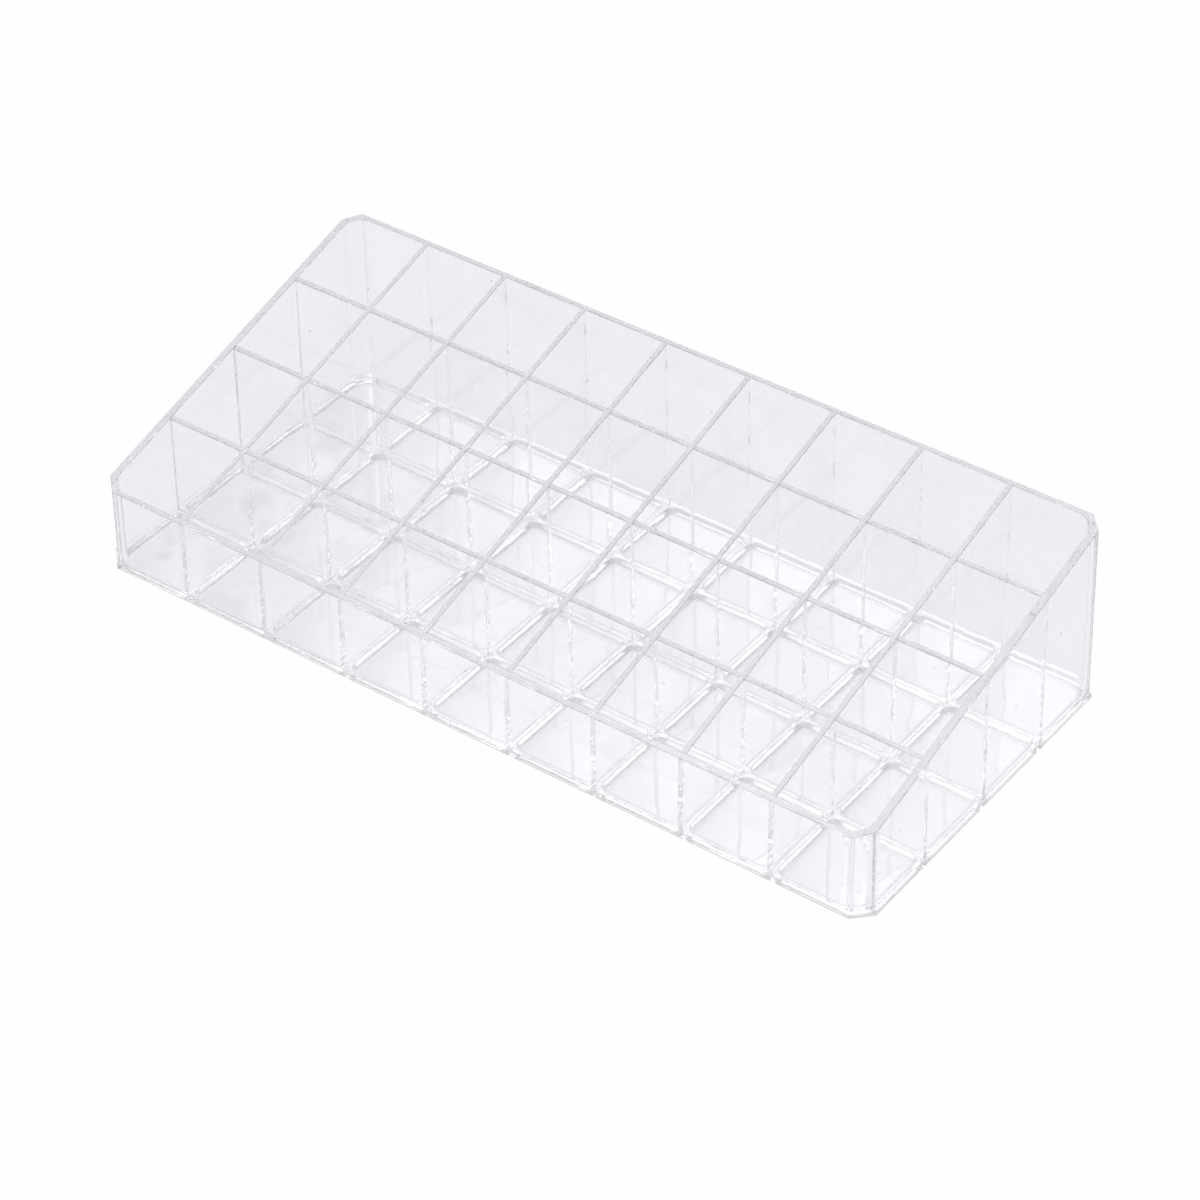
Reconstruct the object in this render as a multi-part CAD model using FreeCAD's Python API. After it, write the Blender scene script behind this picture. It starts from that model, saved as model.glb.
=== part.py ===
"""Clear lipstick tray: a sloping wall ring on a base plate, filled with an egg crate of divider plates.

+X runs along the tray, +Y from the low front to the tall back, +Z up. The origin is on the underside,
in the middle of the base plate. All sizes are in millimetres.
"""
import FreeCAD, Part
import math
import os

# Driving dimensions: the cells
COLUMNS = 9
ROWS = 4
CELL_WIDTH = 23.2
CELL_DEPTH = 23.2
DIVIDER = 1.45

# Driving dimensions: the wall ring
END_WALL = 2.1
FACE_WALL = 1.4
CORNER_WALL = 1.8
CORNER_CLIP = 4.2
DRAFT_DEGREES = 0.8
FRONT_HEIGHT = 23.6
BACK_HEIGHT = 51.1

# Driving dimensions: the base plate
BASE_THICKNESS = 2.0
BASE_LIP = 0.4
BASE_EDGE_BREAK = 0.3

# Driving dimensions: the shallow pan with round corners that is the floor of each cell
FLOOR_THICKNESS = 0.8
PAN_MARGIN = 0.3
PAN_CORNER = 2.5
PAN_SIDE = 0.2

# Clearances: the cement film between glued faces, and the play of a plate in a slot
CEMENT_FILM = 0.05
SLOT_PLAY = 0.05

# The floor of the cells, which is the inside of the wall ring at its foot
COLUMN_PITCH = CELL_WIDTH + DIVIDER
ROW_PITCH = CELL_DEPTH + DIVIDER
SLOT_WIDTH = DIVIDER + 2 * SLOT_PLAY
FLOOR_LENGTH = COLUMNS * COLUMN_PITCH - DIVIDER
FLOOR_DEPTH = ROWS * ROW_PITCH - DIVIDER

# The outside of the wall ring at its foot
FOOT_LENGTH = FLOOR_LENGTH + 2 * END_WALL
FOOT_DEPTH = FLOOR_DEPTH + 2 * FACE_WALL
FOOT_LEVEL = BASE_THICKNESS + CEMENT_FILM

# How far a wall leans in for each millimetre that it rises
LEAN = math.tan(math.radians(DRAFT_DEGREES))
# How much shorter the leg of a 45 degree corner clip gets for each millimetre that the outline shrinks
CLIP_SHRINK = 2 - math.sqrt(2)
INNER_CLIP = CORNER_CLIP + CORNER_WALL * math.sqrt(2) - END_WALL - FACE_WALL

# A pan's floor turns up in a 45 degree slope, below the upright part of its side
PAN_SLOPE = BASE_THICKNESS - FLOOR_THICKNESS - PAN_SIDE
# A pan beside a clipped corner of the ring has a rounder corner, whose arc touches the clip
CLIPPED_PAN_CORNER = INNER_CLIP * (1 + math.sqrt(0.5))


def lean_in(z):
    """How far a wall stands in from its foot at height z."""
    return LEAN * (z - FOOT_LEVEL)


# The rim is one plane, through the outer front edge and the outer back edge of the wall ring
RIM_FRONT_Y = lean_in(FRONT_HEIGHT) - FOOT_DEPTH / 2
RIM_BACK_Y = FOOT_DEPTH / 2 - lean_in(BACK_HEIGHT)
RIM_SLOPE = (BACK_HEIGHT - FRONT_HEIGHT) / (RIM_BACK_Y - RIM_FRONT_Y)


def rim_height(y):
    """Height of the rim plane at depth y."""
    return FRONT_HEIGHT + RIM_SLOPE * (y - RIM_FRONT_Y)


def divider_places(count, pitch):
    """Middle planes of the dividers between a row of cells, centred on zero."""
    return [(i - count / 2) * pitch for i in range(1, count)]


def cell_places(count, pitch):
    """Middles of a row of cells, centred on zero."""
    return [(i - (count - 1) / 2) * pitch for i in range(count)]


def clipped_corners(length, depth, clip, z):
    """Corners of a rectangle whose own corners are cut at 45 degrees, in order, at height z."""
    x, y = length / 2, depth / 2
    flat = [(x - clip, -y), (x, clip - y), (x, y - clip), (x - clip, y),
            (clip - x, y), (-x, y - clip), (-x, clip - y), (clip - x, -y)]
    return [FreeCAD.Vector(px, py, z) for px, py in flat]


def flat_face(corners):
    """Flat face inside a closed run of corners."""
    return Part.Face(Part.makePolygon(corners + corners[:1]))


def leaning_block(length, depth, clip, top):
    """Clipped block whose flat sides all lean in at the draft angle, from the wall foot up to a height."""
    shrink = lean_in(top)
    foot = clipped_corners(length, depth, clip, FOOT_LEVEL)
    head = clipped_corners(length - 2 * shrink, depth - 2 * shrink, clip - CLIP_SHRINK * shrink, top)
    sides = [flat_face([foot[i - 1], foot[i], head[i], head[i - 1]]) for i in range(len(foot))]
    return Part.Solid(Part.makeShell([flat_face(foot), flat_face(head)] + sides))


def above_rim(margin):
    """Everything above the rim plane, wider than the tray by a margin on each side."""
    front, back = -FOOT_DEPTH / 2 - margin, FOOT_DEPTH / 2 + margin
    top = BACK_HEIGHT + RIM_SLOPE * FOOT_DEPTH + margin
    start = -FOOT_LENGTH / 2 - margin
    profile = [(front, rim_height(front)), (back, rim_height(back)), (back, top), (front, top)]
    section = flat_face([FreeCAD.Vector(start, y, z) for y, z in profile])
    return section.extrude(FreeCAD.Vector(FOOT_LENGTH + 2 * margin, 0, 0))


def make_outer_shell():
    """One wall ring: a leaning block with a leaning hollow, cut off by the rim plane."""
    head = BACK_HEIGHT + END_WALL
    outside = leaning_block(FOOT_LENGTH, FOOT_DEPTH, CORNER_CLIP, head)
    hollow = leaning_block(FLOOR_LENGTH, FLOOR_DEPTH, INNER_CLIP, head)
    return outside.cut(hollow).cut(above_rim(END_WALL))


def make_pan(x, y):
    """Hollow over the floor of the cell at x, y: a box with round upright corners and a sloped bottom edge."""
    length, depth = CELL_WIDTH - 2 * PAN_MARGIN, CELL_DEPTH - 2 * PAN_MARGIN
    corner = FreeCAD.Vector(x - length / 2, y - depth / 2, FLOOR_THICKNESS)
    pan = Part.makeBox(length, depth, BASE_THICKNESS, corner)
    last_x, last_y = cell_places(COLUMNS, COLUMN_PITCH)[-1], cell_places(ROWS, ROW_PITCH)[-1]

    def upright_edges(beside_clip):
        found = [e for e in pan.Edges if e.BoundBox.ZLength > PAN_SIDE]
        return [e for e in found
                if (abs(e.CenterOfMass.x) > last_x and abs(e.CenterOfMass.y) > last_y) == beside_clip]

    pan = pan.makeFillet(PAN_CORNER, upright_edges(beside_clip=False))
    if abs(x) == last_x and abs(y) == last_y:
        pan = pan.makeFillet(CLIPPED_PAN_CORNER, upright_edges(beside_clip=True))
    bottom = [e for e in pan.Edges if e.BoundBox.ZMax < FLOOR_THICKNESS + PAN_SIDE]
    return pan.makeChamfer(PAN_SLOPE, bottom)


def make_base_plate():
    """Floor sheet under the whole ring, with a narrow lip past the wall foot and softened edges."""
    clip = CORNER_CLIP + CLIP_SHRINK * BASE_LIP
    outline = clipped_corners(FOOT_LENGTH + 2 * BASE_LIP, FOOT_DEPTH + 2 * BASE_LIP, clip, 0)
    plate = flat_face(outline).extrude(FreeCAD.Vector(0, 0, BASE_THICKNESS))
    rim_edges = [e for e in plate.Edges if abs(e.Vertexes[0].Z - e.Vertexes[1].Z) < BASE_EDGE_BREAK]
    plate = plate.makeChamfer(BASE_EDGE_BREAK, rim_edges)
    pans = [make_pan(x, y) for x in cell_places(COLUMNS, COLUMN_PITCH) for y in cell_places(ROWS, ROW_PITCH)]
    return plate.cut(Part.makeCompound(pans))


def plate_profile(floor, top):
    """Upright plate seen from its side: it stands on the base and its ends lean in with the walls."""
    half = floor / 2 - CEMENT_FILM
    half_top = half - lean_in(top)
    return [(-half, FOOT_LEVEL), (half, FOOT_LEVEL), (half_top, top), (-half_top, top)]


def slot_meeting(y):
    """Height where the slots of two crossing dividers meet, half way up the plates at depth y."""
    return (FOOT_LEVEL + rim_height(y)) / 2


def make_cross_divider(x):
    """Front-to-back plate with the sloping top edge, slotted from below over each long divider."""
    profile = plate_profile(FLOOR_DEPTH, BACK_HEIGHT)
    section = flat_face([FreeCAD.Vector(x - DIVIDER / 2, y, z) for y, z in profile])
    plate = section.extrude(FreeCAD.Vector(DIVIDER, 0, 0)).cut(above_rim(END_WALL))
    for y in divider_places(ROWS, ROW_PITCH):
        slot_top = slot_meeting(y) + SLOT_PLAY
        corner = FreeCAD.Vector(x - DIVIDER, y - SLOT_WIDTH / 2, 0)
        plate = plate.cut(Part.makeBox(2 * DIVIDER, SLOT_WIDTH, slot_top, corner))
    return plate


def make_long_divider(y):
    """Left-to-right plate under the rim plane, slotted from the top under each cross divider."""
    profile = plate_profile(FLOOR_LENGTH, BACK_HEIGHT)
    section = flat_face([FreeCAD.Vector(x, y - DIVIDER / 2, z) for x, z in profile])
    plate = section.extrude(FreeCAD.Vector(0, DIVIDER, 0)).cut(above_rim(END_WALL))
    slot_floor = slot_meeting(y) - SLOT_PLAY
    for x in divider_places(COLUMNS, COLUMN_PITCH):
        corner = FreeCAD.Vector(x - SLOT_WIDTH / 2, y - DIVIDER, slot_floor)
        plate = plate.cut(Part.makeBox(SLOT_WIDTH, 2 * DIVIDER, BACK_HEIGHT, corner))
    return plate


pieces = {"outer_shell": make_outer_shell(), "base_plate": make_base_plate()}
for number, place in enumerate(divider_places(ROWS, ROW_PITCH), start=1):
    pieces[f"long_divider_{number}"] = make_long_divider(place)
for number, place in enumerate(divider_places(COLUMNS, COLUMN_PITCH), start=1):
    pieces[f"cross_divider_{number}"] = make_cross_divider(place)

os.makedirs("parts", exist_ok=True)
for node, shape in pieces.items():
    shape.exportStep(f"parts/{node}.step")
    box = shape.BoundBox
    print(f"{node}: {box.XLength:.2f} x {box.YLength:.2f} x {box.ZLength:.2f} mm,"
          f" {len(shape.Solids)} solid, valid {shape.isValid()}, {shape.Volume / 1000:.2f} cm3")
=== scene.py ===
# %% [markdown]
# A clear lipstick tray: nine columns by four rows of open cells, with a rim that slopes down to the front.
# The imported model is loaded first, because every piece below starts from its solids and keeps their sizes.

# %% Load the frame
import math
import bmesh
import bpy
from mathutils import Matrix, Vector


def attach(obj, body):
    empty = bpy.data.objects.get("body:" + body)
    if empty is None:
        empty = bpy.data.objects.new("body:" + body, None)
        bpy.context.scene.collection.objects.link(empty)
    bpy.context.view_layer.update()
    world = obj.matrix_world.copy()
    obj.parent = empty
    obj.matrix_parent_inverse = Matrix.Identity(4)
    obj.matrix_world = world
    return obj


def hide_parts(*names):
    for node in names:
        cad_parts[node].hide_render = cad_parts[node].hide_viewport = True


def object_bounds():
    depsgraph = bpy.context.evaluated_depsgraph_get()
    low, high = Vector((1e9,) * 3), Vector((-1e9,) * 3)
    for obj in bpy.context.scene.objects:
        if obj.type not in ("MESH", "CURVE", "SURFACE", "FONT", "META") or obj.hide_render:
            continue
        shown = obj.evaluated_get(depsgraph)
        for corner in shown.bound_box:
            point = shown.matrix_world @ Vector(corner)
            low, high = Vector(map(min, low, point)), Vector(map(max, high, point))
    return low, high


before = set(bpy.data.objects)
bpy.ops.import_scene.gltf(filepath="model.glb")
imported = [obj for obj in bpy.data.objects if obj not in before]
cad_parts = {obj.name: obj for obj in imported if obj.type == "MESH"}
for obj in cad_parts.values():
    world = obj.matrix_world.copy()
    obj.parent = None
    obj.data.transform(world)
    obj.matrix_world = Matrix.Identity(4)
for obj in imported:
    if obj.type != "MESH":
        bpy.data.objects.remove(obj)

MM = 0.001
CAD_LOW, CAD_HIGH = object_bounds()
scene = bpy.context.scene
print("tray measures", [round(v / MM, 2) for v in CAD_HIGH - CAD_LOW], "mm")

# %% [markdown]
# The photograph looks down on the tray from the front right through a long lens, and the picture is tilted
# by about one degree. A camera can be aimed by hand or with a Track To constraint. Here it is placed by its
# angles around a point near the middle of the tray, so each number can be checked against the photograph.

# %% Camera
PICTURE_SIDE = 1200
SENSOR_SIDE = 36
CAMERA_AZIMUTH = math.radians(37.118)
CAMERA_ELEVATION = math.radians(38.838)
CAMERA_TILT = math.radians(-1.104)
CAMERA_DISTANCE = 978.18 * MM
FOCAL_PIXELS = 4106.5
AIM_HEIGHT = 25 * MM
AIM_RIGHT, AIM_UP = 2.41 * MM, -13.541 * MM


def place_camera():
    back = Vector((math.cos(CAMERA_ELEVATION) * math.sin(CAMERA_AZIMUTH),
                   -math.cos(CAMERA_ELEVATION) * math.cos(CAMERA_AZIMUTH),
                   math.sin(CAMERA_ELEVATION)))
    level_right = back.cross(Vector((0, 0, -1))).normalized()
    level_up = back.cross(level_right)
    right = level_right * math.cos(CAMERA_TILT) + level_up * math.sin(CAMERA_TILT)
    up = level_up * math.cos(CAMERA_TILT) - level_right * math.sin(CAMERA_TILT)
    aim = Vector((0, 0, AIM_HEIGHT)) + right * AIM_RIGHT + up * AIM_UP
    data = bpy.data.cameras.new("camera")
    data.sensor_width = SENSOR_SIDE
    data.lens = SENSOR_SIDE * FOCAL_PIXELS / PICTURE_SIDE
    camera = bpy.data.objects.new("camera", data)
    scene.collection.objects.link(camera)
    turn = Matrix((right, up, back)).transposed().to_4x4()
    camera.matrix_world = Matrix.Translation(aim + back * CAMERA_DISTANCE) @ turn
    scene.camera = camera
    return camera


camera = place_camera()
print("camera at", [round(v / MM) for v in camera.location], "mm, lens", round(camera.data.lens, 1), "mm")

# %% [markdown]
# Most of the nodes below do sums, or mix two shaders. Small helpers place such a node and link it, so that a
# material reads as a recipe.

# %% Helpers for nodes


def new_material(name):
    material = bpy.data.materials.new(name)
    material.use_nodes = True
    material.node_tree.nodes.clear()
    return material, material.node_tree


def feed(tree, socket, value):
    if isinstance(value, bpy.types.NodeSocket):
        tree.links.new(value, socket)
    else:
        socket.default_value = value


def add_math(tree, operation, first, second=0):
    node = tree.nodes.new("ShaderNodeMath")
    node.operation = operation
    feed(tree, node.inputs[0], first)
    feed(tree, node.inputs[1], second)
    return node.outputs[0]


def add_ramp(tree, value, start, end):
    node = tree.nodes.new("ShaderNodeMapRange")
    node.interpolation_type = "SMOOTHSTEP"
    tree.links.new(value, node.inputs["Value"])
    node.inputs["From Min"].default_value = start
    node.inputs["From Max"].default_value = end
    return node.outputs["Result"]


def mix_shaders(tree, share, first, second):
    node = tree.nodes.new("ShaderNodeMixShader")
    for socket, source in zip(node.inputs, (share, first, second)):
        tree.links.new(source, socket)
    return node.outputs[0]


print("helpers for nodes are ready")

# %% [markdown]
# The tray stands on pale paper. In the photograph the paper is pure white around the tray, and a faint
# lavender grey where it is seen through the plastic. Light Path tells the two kinds of ray apart: the camera
# meets white, and rays that come through the plastic or off its gloss meet the pale paper. Part of the paper
# stays an ordinary lit surface in both, so the tray keeps its shadow.

# %% Paper floor
FLOOR_SIDE = 6.0
FLOOR_GAP = 0.05 * MM
WHITE = (1, 1, 1, 1)
PAPER = (0.884, 0.875, 0.913, 1)
WHITE_SHARE = 0.97
THROUGH_SHARE = 0.6


def add_coloured(tree, kind, colour):
    node = tree.nodes.new(kind)
    node.inputs["Color"].default_value = colour
    return node.outputs[0]


def paper_material():
    material, tree = new_material("paper")
    output = tree.nodes.new("ShaderNodeOutputMaterial")
    lit = add_coloured(tree, "ShaderNodeBsdfDiffuse", PAPER)
    pale = add_coloured(tree, "ShaderNodeEmission", PAPER)
    white = add_coloured(tree, "ShaderNodeEmission", WHITE)
    rays = tree.nodes.new("ShaderNodeLightPath").outputs
    either = add_math(tree, "MAXIMUM", rays["Is Glossy Ray"], rays["Is Transmission Ray"])
    through = mix_shaders(tree, add_math(tree, "MULTIPLY", either, THROUGH_SHARE), lit, pale)
    direct = add_math(tree, "MULTIPLY", rays["Is Camera Ray"], WHITE_SHARE)
    tree.links.new(mix_shaders(tree, direct, through, white), output.inputs["Surface"])
    return material


def make_floor():
    shape = bmesh.new()
    bmesh.ops.create_grid(shape, x_segments=1, y_segments=1, size=FLOOR_SIDE / 2)
    mesh = bpy.data.meshes.new("paper_floor")
    shape.to_mesh(mesh)
    shape.free()
    mesh.materials.append(paper_material())
    floor = bpy.data.objects.new("paper_floor", mesh)
    floor.location.z = CAD_LOW.z - FLOOR_GAP
    scene.collection.objects.link(floor)
    return floor


floor = make_floor()
print("paper floor", FLOOR_SIDE, "m square at", round(floor.location.z / MM, 2), "mm")

# %% [markdown]
# Clear plastic shows what is around it, so the light matters as much as the material. The room is an even
# pale grey with one brighter window behind the tray on the left. The cell floors mirror that window towards
# the camera, more so in the right half, and the sloped edges of the floors catch it as white glints. A lamp
# could stand there, but a bright part of the world costs no extra noise. Its strength is worked out from the
# angle between a ray and the middle of the window, with a soft edge.

# %% Room and window
ROOM_LEVEL, WINDOW_LEVEL = 0.76, 2.6
WINDOW_HEADING, WINDOW_RISE = math.radians(27), math.radians(41)
WINDOW_CORE, WINDOW_EDGE = math.radians(7), math.radians(14)


def make_world():
    world = bpy.data.worlds.new("studio")
    world.use_nodes = True
    scene.world = world
    tree = world.node_tree
    tree.nodes.clear()
    output = tree.nodes.new("ShaderNodeOutputWorld")
    background = tree.nodes.new("ShaderNodeBackground")
    background.inputs["Color"].default_value = WHITE
    toward = tree.nodes.new("ShaderNodeVectorMath")
    toward.operation = "DOT_PRODUCT"
    toward.inputs[1].default_value = (-math.cos(WINDOW_RISE) * math.sin(WINDOW_HEADING),
                                      math.cos(WINDOW_RISE) * math.cos(WINDOW_HEADING),
                                      math.sin(WINDOW_RISE))
    tree.links.new(tree.nodes.new("ShaderNodeTexCoord").outputs["Generated"], toward.inputs[0])
    pane = add_ramp(tree, toward.outputs["Value"], math.cos(WINDOW_EDGE), math.cos(WINDOW_CORE))
    window = add_math(tree, "MULTIPLY", pane, WINDOW_LEVEL - ROOM_LEVEL)
    tree.links.new(add_math(tree, "ADD", window, ROOM_LEVEL), background.inputs["Strength"])
    tree.links.new(background.outputs[0], output.inputs["Surface"])


make_world()
print("room level", ROOM_LEVEL, "with a window of", WINDOW_LEVEL)

# %% [markdown]
# A large softbox above gives the paper its faint shadow. Light runs a long way inside clear plates, so rays
# are allowed many bounces before they end: with the usual few, every edge of the tray would turn black.

# %% Softbox and bounces
SOFTBOX_SIDE, SOFTBOX_POWER = 1.2, 3.5
SOFTBOX_PLACE = Vector((0.1, 0.1, 1.2))
BOUNCES, CLEAR_BOUNCES = 128, 64


def add_softbox():
    light = bpy.data.lights.new("top_softbox", "AREA")
    light.size = SOFTBOX_SIDE
    light.energy = SOFTBOX_POWER
    lamp = bpy.data.objects.new("top_softbox", light)
    lamp.location = SOFTBOX_PLACE
    lamp.rotation_euler = (-SOFTBOX_PLACE).to_track_quat("-Z", "Y").to_euler()
    scene.collection.objects.link(lamp)
    return lamp


softbox = add_softbox()
scene.view_settings.view_transform = "Standard"
scene.cycles.max_bounces = BOUNCES
scene.cycles.transmission_bounces = BOUNCES
scene.cycles.glossy_bounces = BOUNCES
scene.cycles.transparent_max_bounces = CLEAR_BOUNCES
print("softbox", softbox.data.energy, "W, rays of", BOUNCES, "bounces")

# %% [markdown]
# Moulded plastic is never quite flat: its faces carry slow waves from cooling and a finer ripple from the
# mould. They are too shallow to model, but they make the lines behind a plate waver. One node group makes the
# height of both, in metres, and every plastic material feeds it to a Bump node.

# %% Moulded waves


def new_group(name, inputs, outputs):
    group = bpy.data.node_groups.new(name, "ShaderNodeTree")
    for label, value in inputs.items():
        socket = group.interface.new_socket(label, in_out="INPUT", socket_type="NodeSocketFloat")
        socket.default_value = value
    for label in outputs:
        group.interface.new_socket(label, in_out="OUTPUT", socket_type="NodeSocketFloat")
    return group, group.nodes.new("NodeGroupInput"), group.nodes.new("NodeGroupOutput")


def object_place(tree):
    return tree.nodes.new("ShaderNodeTexCoord").outputs["Object"]


def add_noise(tree, place, scale, detail):
    node = tree.nodes.new("ShaderNodeTexNoise")
    tree.links.new(place, node.inputs["Vector"])
    tree.links.new(scale, node.inputs["Scale"])
    node.inputs["Detail"].default_value = detail
    return node.outputs[0]


def moulded_waves_group():
    group, given, out = new_group("moulded_waves",
                                  {"Waves per Metre": 90, "Wave Height": 0.00006,
                                   "Ripples per Metre": 500, "Ripple Height": 0.000003},
                                  ["Height"])
    place = object_place(group)
    waves = add_noise(group, place, given.outputs["Waves per Metre"], detail=1)
    ripples = add_noise(group, place, given.outputs["Ripples per Metre"], detail=2)
    tall = add_math(group, "MULTIPLY", waves, given.outputs["Wave Height"])
    fine = add_math(group, "MULTIPLY", ripples, given.outputs["Ripple Height"])
    group.links.new(add_math(group, "ADD", tall, fine), out.inputs["Height"])
    return group


MOULDED_WAVES = moulded_waves_group()
print("group", MOULDED_WAVES.name, "with", len(MOULDED_WAVES.nodes), "nodes")

# %% [markdown]
# A tray that has been handled is not spotless. Faint smudges dull the gloss in patches, an uneven veil greys
# the plates a little, and a few dark specks of dust sit on them. Smudges and veil come from noise textures,
# and specks from the middles of Voronoi cells, of which only a share is kept. Painting them by hand would
# need an image, and noise doesn't.

# %% Smudges and dust
SMUDGE_RAMP, VEIL_RAMP = (0.5, 0.75), (0.38, 0.68)


def split_colour(tree, colour):
    node = tree.nodes.new("ShaderNodeSeparateColor")
    tree.links.new(colour, node.inputs[0])
    return node.outputs


def handling_group():
    group, given, out = new_group("handling",
                                  {"Smudges per Metre": 60, "Specks per Metre": 120, "Speck Radius": 0.035,
                                   "Kept Share": 0.3, "Veils per Metre": 55},
                                  ["Smudges", "Specks", "Veil"])
    place = object_place(group)
    smudges = add_noise(group, place, given.outputs["Smudges per Metre"], detail=4)
    group.links.new(add_ramp(group, smudges, *SMUDGE_RAMP), out.inputs["Smudges"])
    veil = add_noise(group, place, given.outputs["Veils per Metre"], detail=5)
    group.links.new(add_ramp(group, veil, *VEIL_RAMP), out.inputs["Veil"])
    cells = group.nodes.new("ShaderNodeTexVoronoi")
    group.links.new(place, cells.inputs["Vector"])
    group.links.new(given.outputs["Specks per Metre"], cells.inputs["Scale"])
    near = add_math(group, "LESS_THAN", cells.outputs["Distance"], given.outputs["Speck Radius"])
    chance = split_colour(group, cells.outputs["Color"])[0]
    kept = add_math(group, "LESS_THAN", chance, given.outputs["Kept Share"])
    group.links.new(add_math(group, "MULTIPLY", near, kept), out.inputs["Specks"])
    return group


HANDLING = handling_group()
print("group", HANDLING.name, "with", len(HANDLING.nodes), "nodes")

# %% [markdown]
# The plates are clear plastic with a trace of lavender grey. A Principled shader with full transmission bends
# the light, and a faint Volume Absorption darkens it along its way through a plate. Absorption alone could
# give the dark rims, but when it is strong enough for them, the corners and the base turn dark as well. So
# the dark rims are painted shade in the colour, and every finish takes its colour, height and roughness from
# functions of its own. For shadow rays and soft light the plastic is simply transparent, because those paths
# would otherwise only bring noise.

# %% Clear plastic
PLASTIC_IOR = 1.5
SPECK_TINT = (0.35, 0.34, 0.36, 1)
DEPTH_TINT = (0.91, 0.905, 0.925, 1)
DEPTH_DENSITY = 5


def place_group(tree, group, **values):
    node = tree.nodes.new("ShaderNodeGroup")
    node.node_tree = group
    for label, value in values.items():
        node.inputs[label.replace("_", " ")].default_value = value
    return node


def add_mix(tree, share, first, second):
    node = tree.nodes.new("ShaderNodeMix")
    node.data_type = "RGBA"
    tree.links.new(share, node.inputs["Factor"])
    feed(tree, node.inputs["A"], first)
    feed(tree, node.inputs["B"], second)
    return node.outputs["Result"]


def let_light_by(tree, shaded):
    rays = tree.nodes.new("ShaderNodeLightPath").outputs
    clear = tree.nodes.new("ShaderNodeBsdfTransparent").outputs[0]
    for kind in ("Is Shadow Ray", "Is Diffuse Ray"):
        shaded = mix_shaders(tree, rays[kind], shaded, clear)
    return shaded


def clear_plastic(name, colour_of, height_of, roughness_of):
    material, tree = new_material(name)
    nodes, links = tree.nodes, tree.links
    output = nodes.new("ShaderNodeOutputMaterial")
    plastic = nodes.new("ShaderNodeBsdfPrincipled")
    plastic.inputs["IOR"].default_value = PLASTIC_IOR
    plastic.inputs["Transmission Weight"].default_value = 1
    handling = place_group(tree, HANDLING)
    specked = add_mix(tree, handling.outputs["Specks"], colour_of(tree), SPECK_TINT)
    links.new(specked, plastic.inputs["Base Color"])
    links.new(roughness_of(tree, handling), plastic.inputs["Roughness"])
    bump = nodes.new("ShaderNodeBump")
    bump.inputs["Strength"].default_value = 1
    bump.inputs["Distance"].default_value = 1
    links.new(height_of(tree), bump.inputs["Height"])
    links.new(bump.outputs[0], plastic.inputs["Normal"])
    links.new(let_light_by(tree, plastic.outputs[0]), output.inputs["Surface"])
    depth = nodes.new("ShaderNodeVolumeAbsorption")
    depth.inputs["Color"].default_value = DEPTH_TINT
    depth.inputs["Density"].default_value = DEPTH_DENSITY
    links.new(depth.outputs[0], output.inputs["Volume"])
    return material


print("clear plastic bends light by", PLASTIC_IOR, "and absorbs with a density of", DEPTH_DENSITY)

# %% [markdown]
# On the walls and dividers the rims are the darkest lines, and so are the outer edges of the clipped corners.
# Their rounding gives part of that, and painted shade in the colour darkens them further. A second material
# on those faces would be simpler, but a ray could then enter a plate by one material and leave by another,
# and its absorption would never end. So one material finds the rims by their distance from the rim plane, and
# the corner edges by their place, and paints them darker.

# %% Clear walls
CLEAR_TINT = (0.995, 0.994, 0.997, 1)
VEIL_TINT = (0.978, 0.976, 0.982, 1)
# Tints of painted shade: on the rim top, along the rim edges and on the clipped corners' outer edges.
RIM_TOP_PAINTED_SHADE = (0.82, 0.816, 0.832, 1)
RIM_EDGE_PAINTED_SHADE = (0.765, 0.76, 0.78, 1)
CORNER_EDGE_SHADE_TINT = (0.74, 0.735, 0.755, 1)
RIM_MIDDLE, RIM_SLOPE = 37.403 * MM, 0.27788
RIM_EDGE_RAMP = (RIM_MIDDLE - 0.35 * MM, RIM_MIDDLE - 0.2 * MM)
RIM_TOP_RAMP = (RIM_MIDDLE - 0.06 * MM, RIM_MIDDLE - 0.01 * MM)
CLIP_EDGE, CLIP_EDGE_HALF, OUTER_FACE = 58.2 * MM, 0.25 * MM, 48.9 * MM
SMUDGE_ROUGHNESS = 0.06


def split_place(tree, place):
    node = tree.nodes.new("ShaderNodeSeparateXYZ")
    tree.links.new(place, node.inputs[0])
    return node.outputs


def rim_level(tree):
    x, y, z = split_place(tree, object_place(tree))
    return add_math(tree, "SUBTRACT", z, add_math(tree, "MULTIPLY", y, RIM_SLOPE))


# Mask of the clipped corners' outer edges, which get painted shade.
def corner_edge_shade_mask(tree):
    x, y, z = split_place(tree, object_place(tree))
    sideways = add_math(tree, "ABSOLUTE", x)
    outwards = add_math(tree, "ABSOLUTE", y)
    from_edge = add_math(tree, "SUBTRACT", add_math(tree, "SUBTRACT", sideways, outwards), CLIP_EDGE)
    near = add_math(tree, "LESS_THAN", add_math(tree, "ABSOLUTE", from_edge), CLIP_EDGE_HALF)
    return add_math(tree, "MULTIPLY", near, add_math(tree, "GREATER_THAN", outwards, OUTER_FACE))


def wall_colour(tree):
    level = rim_level(tree)
    veiled = add_mix(tree, place_group(tree, HANDLING).outputs["Veil"], CLEAR_TINT, VEIL_TINT)
    # Painted shade along the rim edges, on the clipped corners' outer edges and on the rim top.
    rim_edge_shaded = add_mix(tree, add_ramp(tree, level, *RIM_EDGE_RAMP), veiled, RIM_EDGE_PAINTED_SHADE)
    corner_edge_shaded = add_mix(tree, corner_edge_shade_mask(tree), rim_edge_shaded, CORNER_EDGE_SHADE_TINT)
    return add_mix(tree, add_ramp(tree, level, *RIM_TOP_RAMP), corner_edge_shaded, RIM_TOP_PAINTED_SHADE)


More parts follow.
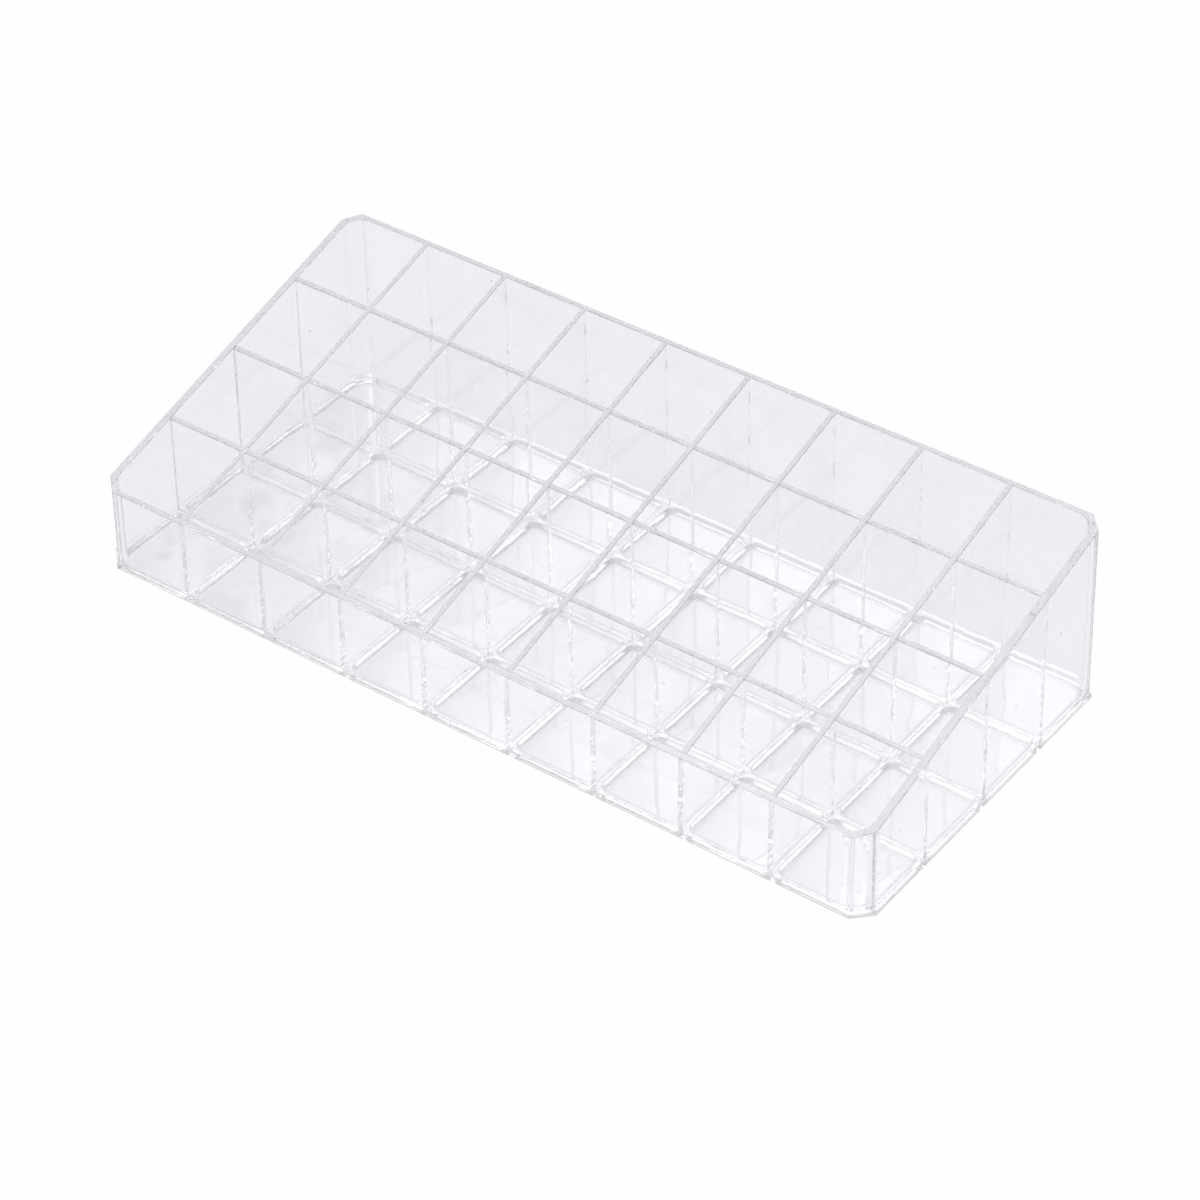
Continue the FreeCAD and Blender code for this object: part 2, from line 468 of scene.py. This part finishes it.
def wall_height(tree):
    return place_group(tree, MOULDED_WAVES).outputs["Height"]


def wall_roughness(tree, handling):
    return add_math(tree, "MULTIPLY", handling.outputs["Smudges"], SMUDGE_ROUGHNESS)


CLEAR_WALL = clear_plastic("clear_wall", wall_colour, wall_height, wall_roughness)
print("material", CLEAR_WALL.name, "with", len(CLEAR_WALL.node_tree.nodes), "nodes")

# %% [markdown]
# The base is the same plastic, but its cell floors differ. Each floor bulges and leans a little in its own
# way, as moulded floors do, so each mirrors the window differently. Painted shade darkens one corner of each
# cell and blotches at the left end. One group works out where a point lies in its cell, and puts out the
# floor's height and masks for that painted shade and for the sloped edges of the pans. A mask of their own
# picks the edges that run along the tray. A white noise that reads the cell's number gives each floor its
# lean.

# %% Cell floors
PITCH = 24.65 * MM
PANS_X, PANS_Y = 110.0 * MM, 48.35 * MM
LAND_LEVEL, FOOT_LEVEL = 1.97 * MM, 0.4 * MM
EDGE_RAMP = (0.82 * MM, 1.1 * MM)
# Where and how strongly painted shade darkens the left end and one corner of each cell.
LEFT_END = (-30 * MM, -100 * MM)
BLOTCH_RAMP, CORNER_RAMP = (0.42, 0.66), (0.12, -0.42)
CORNER_ACROSS, CORNER_ALONG = 0.65, 0.35
CORNER_SHADE_SHARE = 0.7
MIDDLE = 0.5


def all_of(tree, *masks):
    total = masks[0]
    for mask in masks[1:]:
        total = add_math(tree, "MULTIPLY", total, mask)
    return total


def floor_leans(group, column, row):
    number = group.nodes.new("ShaderNodeCombineXYZ")
    group.links.new(add_math(group, "FLOOR", column), number.inputs["X"])
    group.links.new(add_math(group, "FLOOR", row), number.inputs["Y"])
    chance = group.nodes.new("ShaderNodeTexWhiteNoise")
    group.links.new(number.outputs[0], chance.inputs["Vector"])
    return split_colour(group, chance.outputs["Color"])


def floor_height(group, given, off, chance):
    crown = all_of(group, off, off, given.outputs["Crown Height"])
    lean = all_of(group, add_math(group, "SUBTRACT", chance, MIDDLE), given.outputs["Lean Height"], off)
    return add_math(group, "SUBTRACT", lean, crown)


def cell_floors_group():
    group, given, out = new_group("cell_floors",
                                  {"Crown Height": 0.0001, "Lean Height": 0.0003, "Blotches per Metre": 70},
                                  ["Height", "Painted Shade", "Edges", "Long Edges"])
    place = object_place(group)
    x, y, z = split_place(group, place)
    column = add_math(group, "ADD", add_math(group, "DIVIDE", x, PITCH), MIDDLE)
    row = add_math(group, "DIVIDE", y, PITCH)
    across = add_math(group, "SUBTRACT", add_math(group, "FRACT", column), MIDDLE)
    along = add_math(group, "SUBTRACT", add_math(group, "FRACT", row), MIDDLE)
    leans = floor_leans(group, column, row)
    heights = [floor_height(group, given, across, leans[0]), floor_height(group, given, along, leans[1])]
    group.links.new(add_math(group, "ADD", *heights), out.inputs["Height"])
    within_x = add_math(group, "LESS_THAN", add_math(group, "ABSOLUTE", x), PANS_X)
    within_y = add_math(group, "LESS_THAN", add_math(group, "ABSOLUTE", y), PANS_Y)
    in_pan = all_of(group, within_x, within_y, add_math(group, "LESS_THAN", z, LAND_LEVEL))
    edges = all_of(group, in_pan, add_ramp(group, z, *EDGE_RAMP))
    group.links.new(edges, out.inputs["Edges"])
    beside, ahead = add_math(group, "ABSOLUTE", across), add_math(group, "ABSOLUTE", along)
    long_edges = all_of(group, edges, add_math(group, "GREATER_THAN", ahead, beside))
    group.links.new(long_edges, out.inputs["Long Edges"])
    # Painted shade: a darker corner in each cell, and dark blotches at the left end.
    corner = add_math(group, "ADD", add_math(group, "MULTIPLY", across, CORNER_ACROSS),
                      add_math(group, "MULTIPLY", along, CORNER_ALONG))
    noise = add_noise(group, place, given.outputs["Blotches per Metre"], detail=3)
    shade_blotches = all_of(group, add_ramp(group, x, *LEFT_END), add_ramp(group, noise, *BLOTCH_RAMP))
    corner_shade = add_math(group, "MULTIPLY", add_ramp(group, corner, *CORNER_RAMP), CORNER_SHADE_SHARE)
    painted_shade = add_math(group, "MAXIMUM", corner_shade, shade_blotches)
    above_foot = add_math(group, "GREATER_THAN", z, FOOT_LEVEL)
    group.links.new(all_of(group, painted_shade, in_pan, above_foot), out.inputs["Painted Shade"])
    return group


CELL_FLOORS = cell_floors_group()
print("group", CELL_FLOORS.name, "with", len(CELL_FLOORS.nodes), "nodes")

# %% [markdown]
# The edges of the pans are rough from the mould, which breaks their glints up. Those that run along the tray
# are the roughest, so the white glints lie mostly on the edges that run from front to back, and there patches
# of painted shade dim them too. A faint tint on all pan edges is painted shade as well. As on the walls, one
# material does all of it.

# %% Clear base
# Tint of the painted shade on the cell floors.
FLOOR_SHADE_TINT = (0.76, 0.753, 0.782, 1)
# Pan edge tints: a faint one, and a darker one for the painted shade that dims their glints.
EDGE_TINT = (0.97, 0.965, 0.98, 1)
EDGE_SHADE_TINT = (0.78, 0.775, 0.795, 1)
EDGE_SHADE_PER_METRE = 130
EDGE_RIPPLE = 0.00008
EDGE_ROUGHNESS = 0.24
LONG_EDGE_ROUGHNESS = 0.2


def base_colour(tree):
    floors = place_group(tree, CELL_FLOORS)
    # The cell floors are darkened by painted shade.
    floor_shaded = add_mix(tree, floors.outputs["Painted Shade"], CLEAR_TINT, FLOOR_SHADE_TINT)
    # The handling group's veil noise, made finer, picks patches of the front-to-back pan edges for painted
    # shade that dims their glints.
    edge_shade_noise = place_group(tree, HANDLING, Veils_per_Metre=EDGE_SHADE_PER_METRE).outputs["Veil"]
    edge_shade_patches = all_of(tree, edge_shade_noise, add_math(tree, "SUBTRACT", 1, floors.outputs["Long Edges"]))
    edge = add_mix(tree, edge_shade_patches, EDGE_TINT, EDGE_SHADE_TINT)
    return add_mix(tree, floors.outputs["Edges"], floor_shaded, edge)


def base_height(tree):
    floors = place_group(tree, CELL_FLOORS)
    waves = place_group(tree, MOULDED_WAVES)
    ripple = add_math(tree, "MULTIPLY", floors.outputs["Edges"], EDGE_RIPPLE)
    tree.links.new(ripple, waves.inputs["Ripple Height"])
    return add_math(tree, "ADD", waves.outputs["Height"], floors.outputs["Height"])


def base_roughness(tree, handling):
    floors = place_group(tree, CELL_FLOORS)
    edges = add_math(tree, "MULTIPLY", floors.outputs["Edges"], EDGE_ROUGHNESS)
    long_edges = add_math(tree, "MULTIPLY", floors.outputs["Long Edges"], LONG_EDGE_ROUGHNESS)
    rough = add_math(tree, "ADD", edges, long_edges)
    return add_math(tree, "ADD", wall_roughness(tree, handling), rough)


CLEAR_BASE = clear_plastic("clear_base", base_colour, base_height, base_roughness)
print("material", CLEAR_BASE.name, "with", len(CLEAR_BASE.node_tree.nodes), "nodes")

# %% [markdown]
# Every plate has the size and the slots that the solids give it, so each piece starts as a copy of its solid.
# The copy is loose triangles, so its doubles are merged and the flat faces dissolved into one before anything
# is bevelled. Real cement fills the hairline gap under a plate and in a slot, and light passes there as if
# the plastic went on. So the glued faces are moved a tenth of a millimetre into their neighbour. The ends of
# the dividers only touch the walls: their gap stays, and they show there as thin pale lines.

# %% Helpers for the plates
DOUBLES, SLIVER = 0.001 * MM, 0.01 * MM
FLAT_ANGLE = math.radians(0.5)
ENDS_X, ENDS_Y = 110 * MM, 48 * MM
UPRIGHT_TILT, FACING = 0.5, 0.995
JOINT = 0.1 * MM


def merged(name):
    shape = bmesh.new()
    shape.from_mesh(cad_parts[name].data)
    bmesh.ops.remove_doubles(shape, verts=shape.verts, dist=DOUBLES)
    bmesh.ops.dissolve_limit(shape, angle_limit=FLAT_ANGLE, verts=shape.verts, edges=shape.edges)
    shape.normal_update()
    return shape


def is_loose_end(face):
    middle = face.calc_center_median()
    return abs(face.normal.z) < UPRIGHT_TILT and (abs(middle.x) > ENDS_X or abs(middle.y) > ENDS_Y)


def cement(shape, ways):
    for way in ways:
        faces = [f for f in shape.faces if f.normal.dot(Vector(way)) > FACING and not is_loose_end(f)]
        corners = {v for f in faces for v in f.verts}
        bmesh.ops.translate(shape, verts=list(corners), vec=Vector(way) * JOINT)
    shape.normal_update()


def soften(shape, edges, width, segments):
    bmesh.ops.bevel(shape, geom=edges, offset=width, segments=segments, profile=0.5, affect="EDGES",
                    material=-1, clamp_overlap=True)
    bmesh.ops.dissolve_degenerate(shape, dist=SLIVER, edges=shape.edges)
    shape.normal_update()


def add_piece(name, shape, finish):
    mesh = bpy.data.meshes.new("clear_" + name)
    shape.to_mesh(mesh)
    shape.free()
    mesh.materials.append(finish)
    piece = bpy.data.objects.new("clear_" + name, mesh)
    scene.collection.objects.link(piece)
    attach(piece, "root")
    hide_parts(name)
    return piece


print("glued faces reach", JOINT / MM, "mm into their neighbour")

# %% [markdown]
# The rim of every plate is a little rounded. Those round edges bend the light to both sides, and give each
# rim its two thin dark lines with a paler middle. A Bevel modifier would round all edges alike, so the two
# long edges of the sloping top are picked by their faces and bevelled alone.

# %% Cross dividers
CROSS_DIVIDERS, LONG_DIVIDERS = 8, 3
RIM_LEAST, RIM_MOST = 0.9, 0.99
SIDEWAYS = 0.9
RIM_SOFT, RIM_STEPS = 0.3 * MM, 3


def is_rim(face):
    return RIM_LEAST < face.normal.z < RIM_MOST


def rim_edges(shape):
    return [e for e in shape.edges if len(e.link_faces) == 2
            and is_rim(e.link_faces[0]) != is_rim(e.link_faces[1])]


for number in range(1, CROSS_DIVIDERS + 1):
    shape = merged(f"cross_divider_{number}")
    cement(shape, [(0, 0, -1), (0, 1, 0), (0, -1, 0)])
    edges = [e for e in rim_edges(shape) if max(abs(f.normal.x) for f in e.link_faces) > SIDEWAYS]
    soften(shape, edges, RIM_SOFT, RIM_STEPS)
    add_piece(f"cross_divider_{number}", shape, CLEAR_WALL)
print(CROSS_DIVIDERS, "cross dividers, the last with", len(edges), "rounded rim edges")

# %% [markdown]
# The long dividers pass under the cross dividers in slots that are open at the top, so the floors of those
# slots are glued faces too. Their rim is cut to the same slope, and rounded in the same way.

# %% Long dividers
for number in range(1, LONG_DIVIDERS + 1):
    shape = merged(f"long_divider_{number}")
    cement(shape, [(0, 0, -1), (1, 0, 0), (-1, 0, 0), (0, 0, 1)])
    edges = [e for e in rim_edges(shape) if max(abs(f.normal.y) for f in e.link_faces) > SIDEWAYS]
    soften(shape, edges, RIM_SOFT, RIM_STEPS)
    add_piece(f"long_divider_{number}", shape, CLEAR_WALL)
print(LONG_DIVIDERS, "long dividers, the last with", len(edges), "rounded rim edges")

# %% [markdown]
# The wall ring is one moulding with four clipped corners. Inside, its upright corners are well rounded, as a
# mould needs, and outside less. A sharp inner corner would trap the light in a broad black stripe. The flat
# rim is a face with a hole, which a mesh can only keep with some edges across it. A bevel gets stuck on
# those, so the ring is cut at its middle, where a crossing does no harm, and the others are dissolved. Then
# each group of edges is bevelled by itself, the uprights before the rim that they run into.

# %% Wall ring
INNER_ROUND, INNER_STEPS = 1.6 * MM, 4
OUTER_ROUND, OUTER_STEPS = 0.35 * MM, 3
UPRIGHT_HEIGHT = 15 * MM
CLIP_ANGLE = math.radians(34)


def clear_rim(shape):
    everything = shape.verts[:] + shape.edges[:] + shape.faces[:]
    bmesh.ops.bisect_plane(shape, geom=everything, plane_co=(0, 0, 0), plane_no=(1, 0, 0))
    strays = [e for e in shape.edges if all(is_rim(f) for f in e.link_faces)
              and any(abs(v.co.x) > SLIVER for v in e.verts)]
    bmesh.ops.dissolve_edges(shape, edges=strays, use_verts=True)
    shape.normal_update()
    return len(strays)


def upright_edges(shape):
    return [e for e in shape.edges if len(e.link_faces) == 2 and not any(is_rim(f) for f in e.link_faces)
            and abs(e.verts[0].co.z - e.verts[1].co.z) > UPRIGHT_HEIGHT
            and e.calc_face_angle(0) > CLIP_ANGLE]


shape = merged("outer_shell")
cement(shape, [(0, 0, -1)])
stray_count = clear_rim(shape)
inner = [e for e in upright_edges(shape) if not e.is_convex]
soften(shape, inner, INNER_ROUND, INNER_STEPS)
outer = [e for e in upright_edges(shape) if e.is_convex]
soften(shape, outer, OUTER_ROUND, OUTER_STEPS)
soften(shape, rim_edges(shape), RIM_SOFT, RIM_STEPS)
add_piece("outer_shell", shape, CLEAR_WALL)
print("wall ring with", len(inner), "inner and", len(outer), "outer uprights,", stray_count, "strays cleared")

# %% [markdown]
# The base has a shallow pan with round corners under each cell. The solid gives each pan a plain 45 degree
# edge. Here the foot of that edge is rounded to a small cove, and every other edge loses its sharpness.

# %% Base plate
PAN_FLOOR = 0.8 * MM
PAN_COVE, COVE_STEPS = 0.6 * MM, 4
BASE_SOFT, BASE_STEPS = 0.1 * MM, 2
SHARP_ANGLE = math.radians(30)


def sharp_edges(shape):
    return [e for e in shape.edges if e.calc_face_angle(0) > SHARP_ANGLE]


def at_floor(edge):
    return all(abs(v.co.z - PAN_FLOOR) < SLIVER for v in edge.verts)


shape = merged("base_plate")
coves = [e for e in sharp_edges(shape) if at_floor(e)]
soften(shape, coves, PAN_COVE, COVE_STEPS)
soften(shape, sharp_edges(shape), BASE_SOFT, BASE_STEPS)
base = add_piece("base_plate", shape, CLEAR_BASE)
print("base plate with", len(coves), "cove edges and", len(base.data.polygons), "faces")
